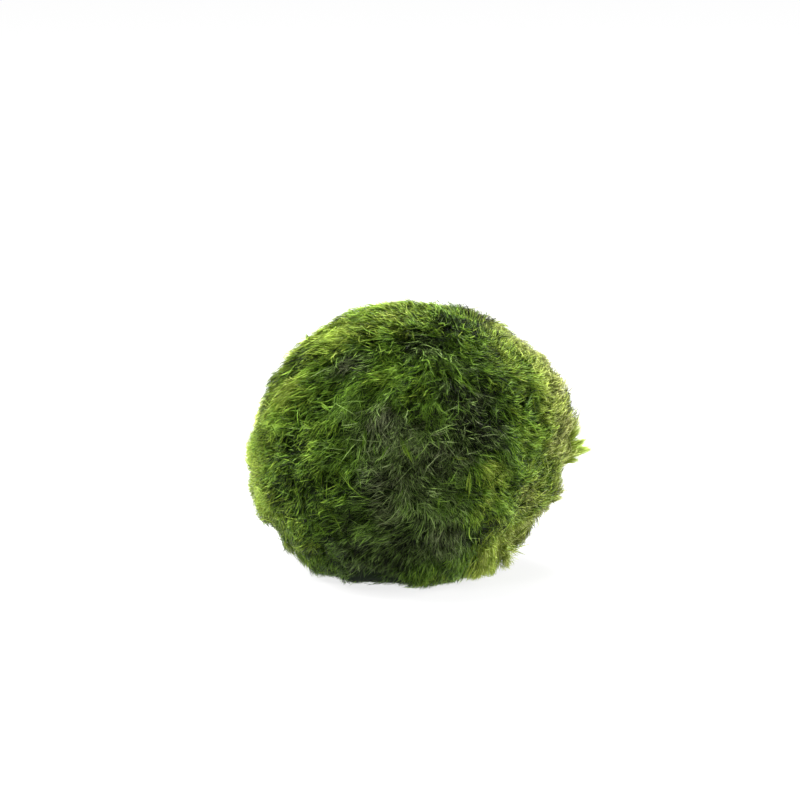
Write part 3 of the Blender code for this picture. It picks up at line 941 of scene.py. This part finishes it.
# Tufts that lie on the coat: the longitude and latitude of the foot and of the tip, the tip's
# height in metres, the half width, the filaments, how much they close up, shade and hue
LYING_TUFTS = (
    (-36, 31, -28, 20, 0.0005, 0.00026, 14, 0.4, 0.60, 0.40),
    (-42, 24, -30, 20, 0.0005, 0.00020, 4, 0.3, 0.72, 0.42),
    (-43, 25, -33, 22, 0.0005, 0.00014, 3, 0.3, 0.70, 0.40),
    (-19, 17, -19, 6, 0.0004, 0.00030, 14, 0.2, 0.66, 0.42),
    (-6, 14, -1, 4, 0.0006, 0.00026, 12, 1.0, 0.72, 0.48),
    (3, 10, -1, 4, 0.0006, 0.00020, 6, 1.0, 0.66, 0.44),
    (20, -12, 20, 1, 0.0006, 0.00018, 12, 1.0, 0.84, 0.58),
    (12, 7, 20, 5, 0.0005, 0.00024, 7, 0.2, 0.72, 0.50),
    (8, -15, 9, -7, 0.0006, 0.00040, 16, 0.6, 0.66, 0.42),
    (-8, 13, -13, 4, 0.0004, 0.00030, 8, 0.4, 0.60, 0.40),
    (23, -32, 38, -50, 0.0005, 0.00030, 12, 0.2, 0.68, 0.50),
    (19, 41, 26, 30, 0.0005, 0.00025, 8, 0.2, 0.72, 0.46),
    (-24, 3, -30, 6, 0.0006, 0.00016, 5, 1.0, 0.70, 0.45),
    (-24, 5, -26, -2, 0.0004, 0.00036, 16, 0.2, 0.62, 0.40),
    (-44, 27, -36, 29, 0.0005, 0.00025, 8, 0.4, 0.70, 0.42),
    (65, 38, 60, 29, 0.0006, 0.00022, 8, 0.4, 0.92, 0.66),
    (38, -8, 51, -18, 0.0006, 0.00015, 6, 0.5, 0.84, 0.70),
    (25, -8, 29, -13, 0.0005, 0.00025, 6, 0.2, 0.72, 0.70),
    (6, 28, 3, 22, 0.0005, 0.00040, 18, 0.3, 0.56, 0.38),
    (12, 24, 9, 16, 0.0004, 0.00034, 14, 0.3, 0.56, 0.38),
    (-14, 45, -22, 35, 0.0004, 0.00040, 14, 0.2, 0.64, 0.44),
    (70, 75, 140, 79, 0.0008, 0.0005, 22, -0.4, 0.46, 0.44),
    (74, 73, 126, 77, 0.0010, 0.0005, 26, -0.4, 0.40, 0.42),
    (76, 71, 118, 74, 0.0011, 0.0005, 28, -0.4, 0.36, 0.42),
    (78, 69, 113, 71, 0.0010, 0.0005, 26, -0.4, 0.36, 0.42),
    (80, 67, 110, 68, 0.0008, 0.0005, 24, -0.4, 0.40, 0.46),
    (82, 65, 107, 65, 0.0007, 0.0005, 20, -0.4, 0.46, 0.50),
    (30, 72, 20, 79, 0.0006, 0.0006, 20, -0.4, 0.52, 0.48),
)
# Tufts that stand free at the rim: the foot and the tip in metres, the half width, the
# filaments, how much they close up, shade and hue
FREE_TUFTS = (
    ((0.0216, -0.0012, 0.0186), (0.0252, -0.0006, 0.0202), 0.00045, 70, 0.75, 0.85, 0.58),
    ((0.0216, -0.0010, 0.0183), (0.0250, 0.0002, 0.0195), 0.00035, 50, 0.75, 0.82, 0.60),
    ((0.0214, -0.0010, 0.0179), (0.0262, -0.0004, 0.0185), 0.00045, 70, 0.85, 0.85, 0.58),
    ((0.0214, -0.0012, 0.0176), (0.0257, 0.0000, 0.0189), 0.00045, 60, 0.80, 0.84, 0.60),
    ((0.0210, -0.0010, 0.0172), (0.0243, -0.0004, 0.0167), 0.00050, 60, 0.60, 0.80, 0.62),
    ((0.0210, -0.0012, 0.0190), (0.0242, -0.0006, 0.0198), 0.00080, 70, 0.30, 0.80, 0.62),
    ((0.0210, -0.0012, 0.0183), (0.0247, -0.0004, 0.0190), 0.00080, 80, 0.30, 0.84, 0.60),
    ((0.0210, -0.0012, 0.0176), (0.0243, -0.0004, 0.0178), 0.00080, 70, 0.30, 0.80, 0.62),
    ((0.0206, -0.0016, 0.0200), (0.0246, -0.0005, 0.0224), 0.00100, 120, 0.40, 0.70, 0.66),
    ((0.0208, -0.0016, 0.0210), (0.0240, -0.0006, 0.0237), 0.00090, 100, 0.40, 0.72, 0.70),
    ((0.0206, -0.0012, 0.0196), (0.0241, 0.0004, 0.0213), 0.00090, 80, 0.40, 0.64, 0.66),
    ((-0.0232, -0.0014, 0.0213), (-0.0250, -0.0006, 0.0219), 0.00025, 18, 0.60, 0.50, 0.45),
    ((-0.0244, -0.0010, 0.0185), (-0.0260, 0.0000, 0.0187), 0.00020, 14, 0.60, 0.50, 0.45),
    ((0.0094, -0.0010, 0.0382), (0.0100, -0.0004, 0.0400), 0.00030, 4, -0.5, 0.50, 0.42),
    ((0.0020, -0.0010, 0.0400), (0.0014, -0.0004, 0.0413), 0.00030, 4, -0.2, 0.60, 0.50),
    ((-0.0164, -0.0008, 0.0349), (-0.0174, -0.0004, 0.0362), 0.00025, 16, 0.50, 0.62, 0.55),
)
# How deep in the coat a lying tuft has its foot
LYING_FOOT_DEPTH = 0.0004
# One filament of a tuft, and how these filaments differ: how far they go, where they stand, how
# they bend, and their shade, hue and half width
TUFT_HALF_WIDTH = 0.000056
TUFT_NODES = 4
# A tuft's filaments are painted darker towards its foot, a painted shade: the foot's share of
# the shade
TUFT_FOOT_PAINTED_SHADE = 0.55
TUFT_LENGTHS = (0.62, 1.0)
TUFT_SCATTER = 0.5
TUFT_SWAY = 0.05
TUFT_SHADE_SPREAD = 0.10
TUFT_HUE_SPREAD = 0.05
TUFT_WIDTHS = (0.8, 1.2)


def tuft_arrays(chance, foot, tip, half_width, count, close, shade, hue):
    """The arrays of one tuft: filaments from round its foot to near its tip."""
    foot, tip = np.array(foot), np.array(tip)
    lean = unit(tip - foot)
    aside = unit(np.cross(lean, unit(foot - CENTRE)))
    across = np.cross(lean, aside)
    share = np.linspace(0, 1, TUFT_NODES)
    own_share = share * chance.uniform(*TUFT_LENGTHS, (count, 1))
    place = chance.normal(0, TUFT_SCATTER, (2, count, 1)) * half_width
    place = place * (1 - own_share * close)
    sway = chance.normal(0, TUFT_SWAY, (2, count, 1)) * np.sin(own_share * math.pi)
    place = place + sway * np.linalg.norm(tip - foot)
    lines = foot + (tip - foot) * own_share[..., None]
    lines = lines + aside * place[0][..., None] + across * place[1][..., None]
    own_shade = shade + chance.normal(0, TUFT_SHADE_SPREAD, (count, 1))
    # Each filament is painted darker towards the foot: painted shade
    own_shade = own_shade * (TUFT_FOOT_PAINTED_SHADE + (1 - TUFT_FOOT_PAINTED_SHADE) * share)
    own_hue = hue + chance.normal(0, TUFT_HUE_SPREAD, count)
    widths = TUFT_HALF_WIDTH * chance.uniform(*TUFT_WIDTHS, count)
    return strand_arrays(lines, widths, own_shade, own_hue)


tuft_parts = []
for foot_lon, foot_lat, tip_lon, tip_lat, height, *habit in LYING_TUFTS:
    foot_out, tip_out = directions_at(foot_lon, foot_lat), directions_at(tip_lon, tip_lat)
    foot = CENTRE + foot_out * (reach_at(foot_out) - LYING_FOOT_DEPTH)
    tip = CENTRE + tip_out * (reach_at(tip_out) + height)
    tuft_parts.append(tuft_arrays(chance, foot, tip, *habit))
add_piece("lying_tufts", joined(tuft_parts), filament_material)
tuft_parts = [tuft_arrays(chance, *row) for row in FREE_TUFTS]
add_piece("free_tufts", joined(tuft_parts), filament_material)
